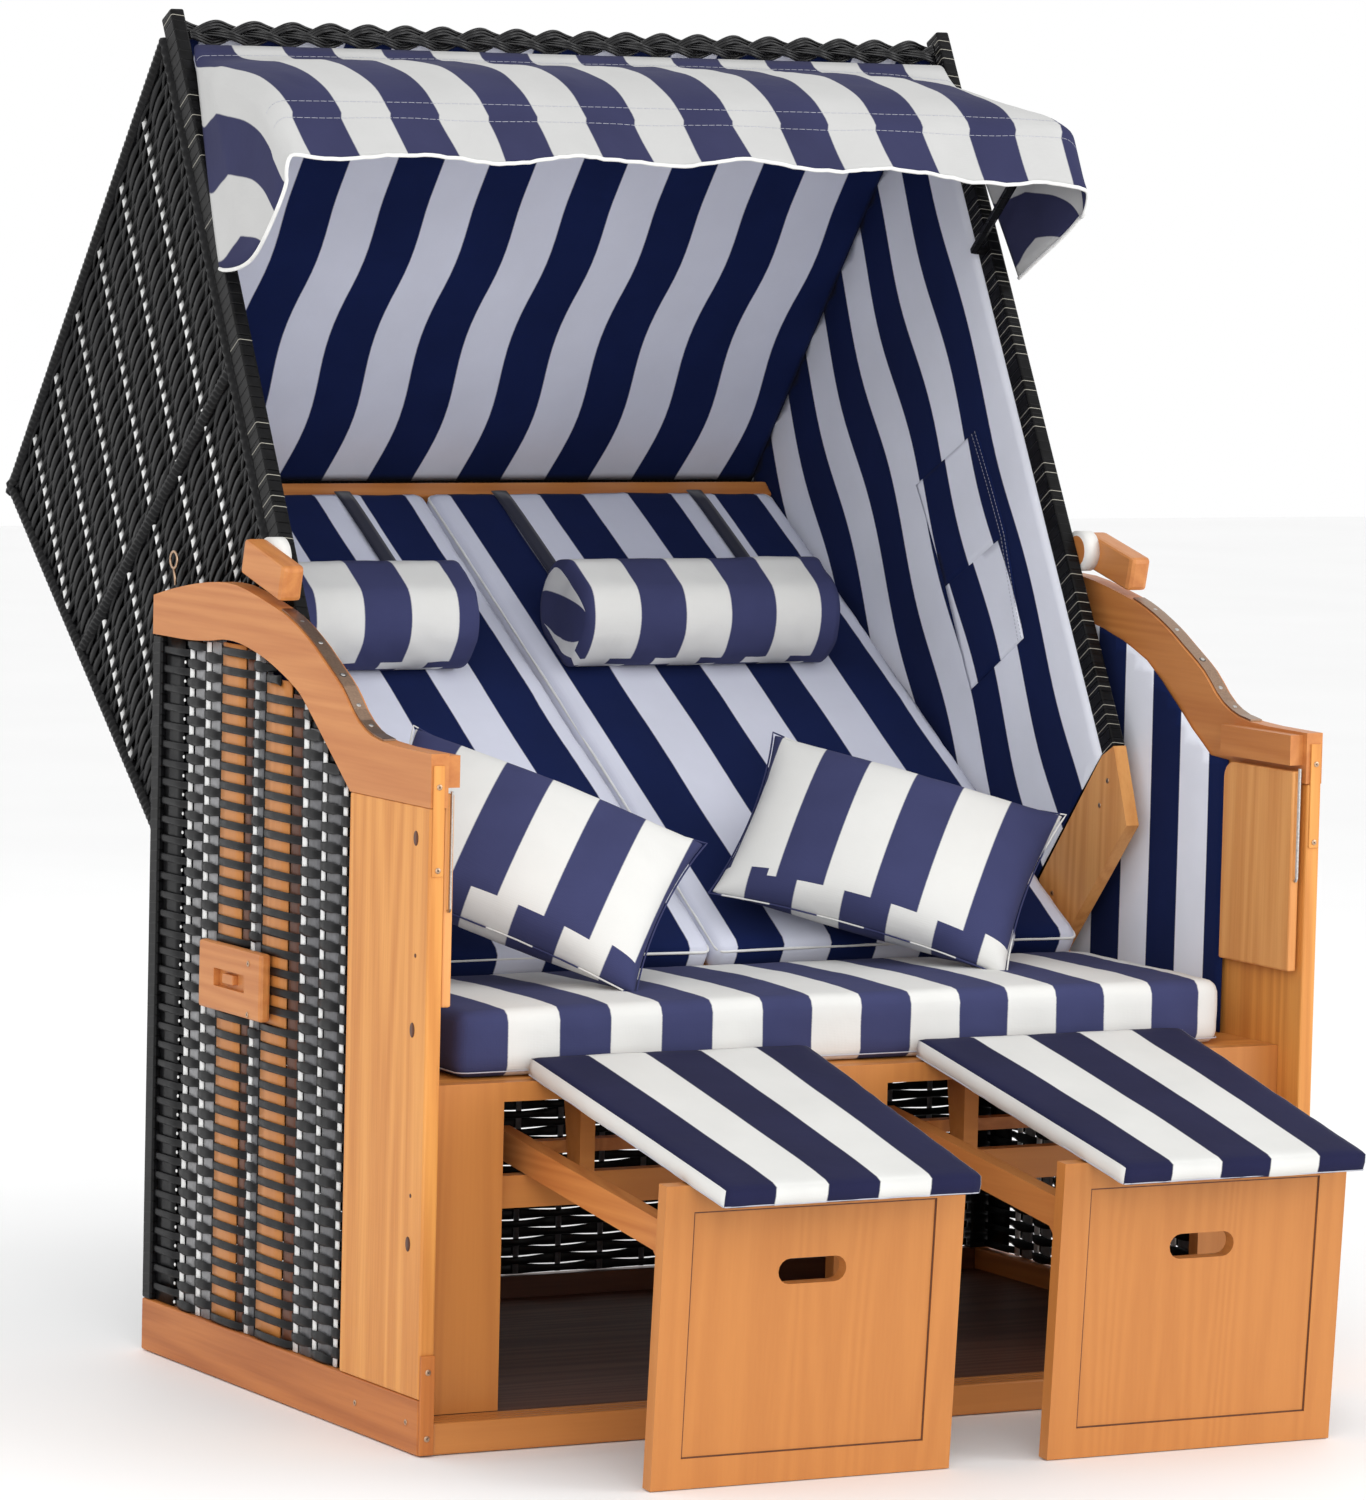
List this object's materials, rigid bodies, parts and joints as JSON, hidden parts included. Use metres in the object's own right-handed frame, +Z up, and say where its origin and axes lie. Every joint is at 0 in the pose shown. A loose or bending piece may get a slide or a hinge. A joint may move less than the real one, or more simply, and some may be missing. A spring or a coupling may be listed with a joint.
{
  "type": "hooded beach chair",
  "caption": "Two-seat hooded beach chair: woven tilting hood over a wooden base, striped cushions, awning, pull-out footrests, folding side tables.",
  "frame": {"origin": "on the floor, under the middle of the base between its two sides and its front and back", "axes": "+Z up, -Y the open front with the footrests, -X the left side seen from the front"},
  "size_m": [1.2046, 1.6934, 1.6121],
  "materials": {
    "pine": "clear oiled",
    "armrest_wood": "stained satin",
    "brown_wood": "dark stained",
    "black_wicker": "woven resin strands",
    "stripe_fabric": "navy and white stripes",
    "lining_fabric": "white and navy stripes",
    "steel": "plain"
  },
  "bodies": {
    "base": {"base_board_left": "brown_wood", "base_board_right": "brown_wood", "front_post_left": "pine", "front_post_right": "pine", "back_post_left": "black_wicker", "back_post_right": "black_wicker", "armrest_left": "armrest_wood", "armrest_right": "armrest_wood", "side_panel_left": "black_wicker", "side_panel_right": "black_wicker", "base_lining_left": "lining_fabric", "base_lining_right": "lining_fabric", "lock_strip_left": "steel", "lock_strip_right": "steel", "carry_plate_left": "armrest_wood", "carry_plate_right": "armrest_wood", "front_beam": "pine", "rear_beam": "brown_wood", "floor_panel": "brown_wood", "rear_panel": "black_wicker", "front_frame": "pine", "seat_board": "pine", "slide_rail": "armrest_wood", "seat_cushion": "stripe_fabric", "throw_pillow_left": "stripe_fabric", "throw_pillow_right": "stripe_fabric"},
    "hood": {"hood_post_left": "black_wicker", "hood_post_right": "black_wicker", "hood_side_left": "black_wicker", "hood_side_right": "black_wicker", "hood_lining_left": "lining_fabric", "hood_lining_right": "lining_fabric", "hood_foot_left": "pine", "hood_foot_right": "pine", "back_cushion_left": "stripe_fabric", "back_cushion_right": "stripe_fabric", "head_pillow_left": "stripe_fabric", "head_pillow_right": "stripe_fabric", "hood_roof": "black_wicker", "hood_back": "black_wicker", "hood_rail": "pine", "roof_lining": "lining_fabric", "top_beam": "black_wicker", "backrest_board": "pine", "awning": "lining_fabric"},
    "bow": {"awning_bow": "black_wicker"},
    "lever_left": {"lock_lever_left": "armrest_wood"},
    "footrest_left": {"footrest_panel_left": "pine", "footrest_frame_left": "armrest_wood"},
    "pad_left": {"footrest_board_left": "pine", "footrest_pad_left": "stripe_fabric"},
    "table_left": {"table_left": "armrest_wood"},
    "brace_left": {"table_brace_left": "steel"},
    "lever_right": {"lock_lever_right": "armrest_wood"},
    "footrest_right": {"footrest_panel_right": "pine", "footrest_frame_right": "armrest_wood"},
    "pad_right": {"footrest_board_right": "pine", "footrest_pad_right": "stripe_fabric"},
    "table_right": {"table_right": "armrest_wood"},
    "brace_right": {"table_brace_right": "steel"}
  },
  "joints": [
    {"name": "hood_tilt", "type": "hinge", "parent": "base", "child": "hood", "pos_m": [0, 0.1145, 0.515], "axis": [1, 0, 0], "range_deg": [0, 28.5]},
    {"name": "bow_tilt", "type": "hinge", "parent": "hood", "child": "bow", "pos_m": [0, 0.32849, 1.33892], "axis": [-1, 0, 0], "range_deg": [0, 30], "deforming": ["awning"]},
    {"name": "lever_turn_left", "type": "hinge", "parent": "hood", "child": "lever_left", "pos_m": [-0.576, 0.11579, 0.97279], "axis": [-1, 0, 0], "range_deg": [0, 25]},
    {"name": "footrest_slide_left", "type": "slide", "parent": "base", "child": "footrest_left", "axis": [0, 0.9914, 0.1305], "range_m": [0, 0.312]},
    {"name": "pad_fold_left", "type": "hinge", "parent": "base", "child": "pad_left", "pos_m": [-0.25374, -0.31405, 0.43651], "axis": [-1, 0, 0], "range_deg": [0, 75]},
    {"name": "table_fold_left", "type": "hinge", "parent": "base", "child": "table_left", "pos_m": [-0.5615, -0.3675, 0.742], "axis": [0, -1, 0], "range_deg": [0, 90]},
    {"name": "brace_turn_left", "type": "hinge", "parent": "table_left", "child": "brace_left", "pos_m": [-0.5615, -0.3675, 0.6115], "axis": [0, -1, 0], "range_deg": [-5, 5]},
    {"name": "lever_turn_right", "type": "hinge", "parent": "hood", "child": "lever_right", "pos_m": [0.576, 0.11579, 0.97279], "axis": [-1, 0, 0], "range_deg": [0, 25]},
    {"name": "footrest_slide_right", "type": "slide", "parent": "base", "child": "footrest_right", "axis": [0, 0.9914, 0.1305], "range_m": [0, 0.312]},
    {"name": "pad_fold_right", "type": "hinge", "parent": "base", "child": "pad_right", "pos_m": [0.25374, -0.31405, 0.43651], "axis": [-1, 0, 0], "range_deg": [0, 75]},
    {"name": "table_fold_right", "type": "hinge", "parent": "base", "child": "table_right", "pos_m": [0.5615, -0.3675, 0.742], "axis": [0, 1, 0], "range_deg": [0, 90]},
    {"name": "brace_turn_right", "type": "hinge", "parent": "table_right", "child": "brace_right", "pos_m": [0.5615, -0.3675, 0.6115], "axis": [0, 1, 0], "range_deg": [-5, 5]}
  ],
  "couplings": [
    {"joint": "brace_turn_left", "follows": "table_fold_left", "ratio": -0.0366},
    {"joint": "brace_turn_right", "follows": "table_fold_right", "ratio": -0.0366}
  ]
}
